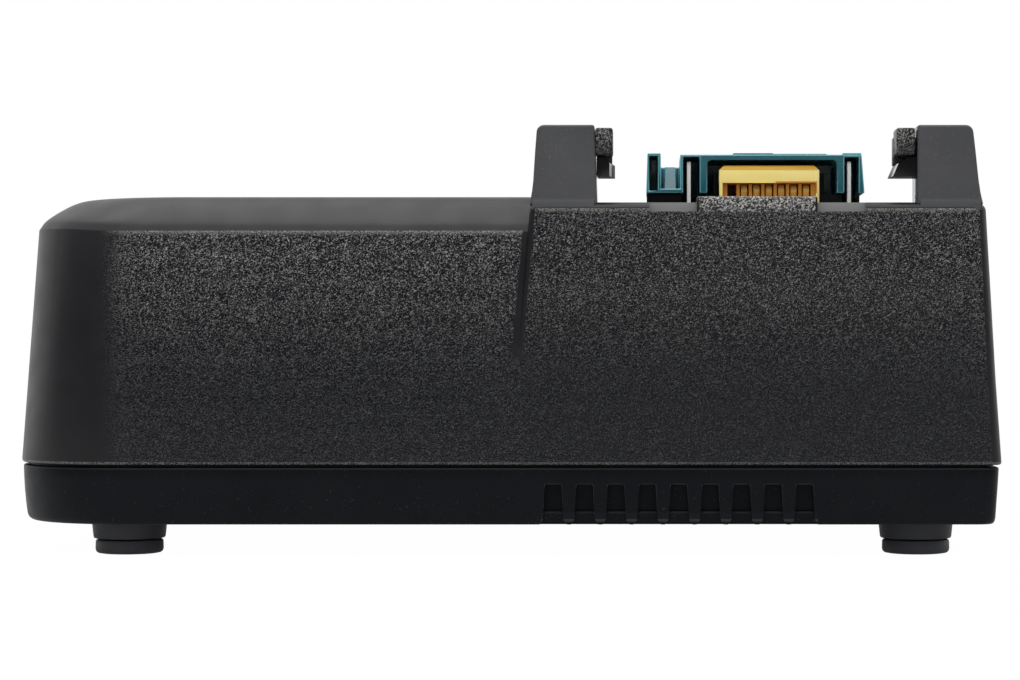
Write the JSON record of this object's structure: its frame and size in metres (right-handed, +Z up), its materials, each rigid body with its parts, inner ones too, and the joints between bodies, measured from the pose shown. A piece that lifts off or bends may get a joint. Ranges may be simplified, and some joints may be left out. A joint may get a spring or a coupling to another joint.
{
  "type": "power tool battery charger",
  "caption": "Bench charger for slide-on tool batteries, with a raised battery bay, spring-loaded contact shutter, cooling fan and rubber feet.",
  "frame": {"origin": "on the table, under the middle of the charger's outline", "axes": "+X along the width, from the power supply body to the battery bay; +Y from the front, where the battery slides in, to the rear with the cord outlet; +Z up"},
  "size_m": [0.19, 0.15, 0.0822],
  "materials": {
    "case_black": "moulded, coarse leather-like grain",
    "base_black": "moulded, smooth satin",
    "rail_grey": "moulded, fine satin",
    "hook_black": "moulded, coarse grain on the tabs",
    "pedestal_black": "moulded, satin",
    "shutter_teal": "moulded, satin",
    "guide_steel": "drawn wire",
    "blade_plating": "nickel plated",
    "connector_yellow": "moulded, smooth",
    "contact_metal": "stamped",
    "fan_black": "moulded",
    "winding_copper": "enamelled wire",
    "board_green": "lacquered",
    "ferrite_grey": "sintered",
    "coil_tape": "polyester tape",
    "capacitor_sleeve": "shrink sleeve",
    "sink_aluminium": "extruded",
    "package_black": "moulded",
    "fuse_glass": "clear tube",
    "relay_blue": "moulded",
    "terminal_green": "moulded",
    "wire_black": "extruded sleeve",
    "wire_red": "extruded sleeve",
    "led_clear": "clear epoxy",
    "lens_clear": "moulded, polished",
    "bushing_rubber": "moulded",
    "foot_rubber": "moulded, satin",
    "screw_steel": "zinc plated"
  },
  "bodies": {
    "case": {"upper_case": "case_black", "lower_case": "base_black", "rail_left": "rail_grey", "rail_right": "rail_grey", "hook_left": "hook_black", "hook_right": "hook_black", "duct_cap": "hook_black", "terminal_base": "pedestal_black", "outlet_grille": "pedestal_black", "cover_guide_rods": "guide_steel", "cover_spring_left": "guide_steel", "cover_spring_right": "guide_steel", "blade_negative": "blade_plating", "blade_positive": "blade_plating", "data_connector": "connector_yellow", "data_contacts": "contact_metal", "fan_frame": "fan_black", "air_duct": "fan_black", "fan_stator": "winding_copper", "line_choke": "winding_copper", "main_board": "board_green", "led_board": "board_green", "transformer_core": "ferrite_grey", "transformer_coil": "coil_tape", "bulk_capacitors": "capacitor_sleeve", "output_capacitors": "capacitor_sleeve", "heatsink_primary": "sink_aluminium", "heatsink_secondary": "sink_aluminium", "power_transistors": "package_black", "buzzer": "package_black", "input_fuse": "fuse_glass", "output_relay": "relay_blue", "mains_terminal": "terminal_green", "lead_negative": "wire_black", "lead_positive": "wire_red", "indicator_leds": "led_clear", "indicator_lens": "lens_clear", "cord_bushing": "bushing_rubber", "foot_front_left": "foot_rubber", "foot_front_right": "foot_rubber", "foot_rear_left": "foot_rubber", "foot_rear_right": "foot_rubber", "fan_screws": "screw_steel", "case_screws": "screw_steel", "board_screws": "screw_steel", "base_screws": "screw_steel", "led_screws": "screw_steel"},
    "shutter": {"terminal_cover": "shutter_teal"},
    "fan": {"fan_rotor": "fan_black"}
  },
  "joints": [
    {"name": "shutter_slide", "type": "slide", "parent": "case", "child": "shutter", "axis": [0, 1, 0], "range_m": [0, 0.018], "stiffness_N_per_m": 100, "springref_m": -0.01, "deforming": ["cover_spring_left", "cover_spring_right"]},
    {"name": "fan_spin", "type": "hinge", "parent": "case", "child": "fan", "pos_m": [0.04854, -0.0445, 0.043], "axis": [0, 0, 1], "continuous": true}
  ]
}
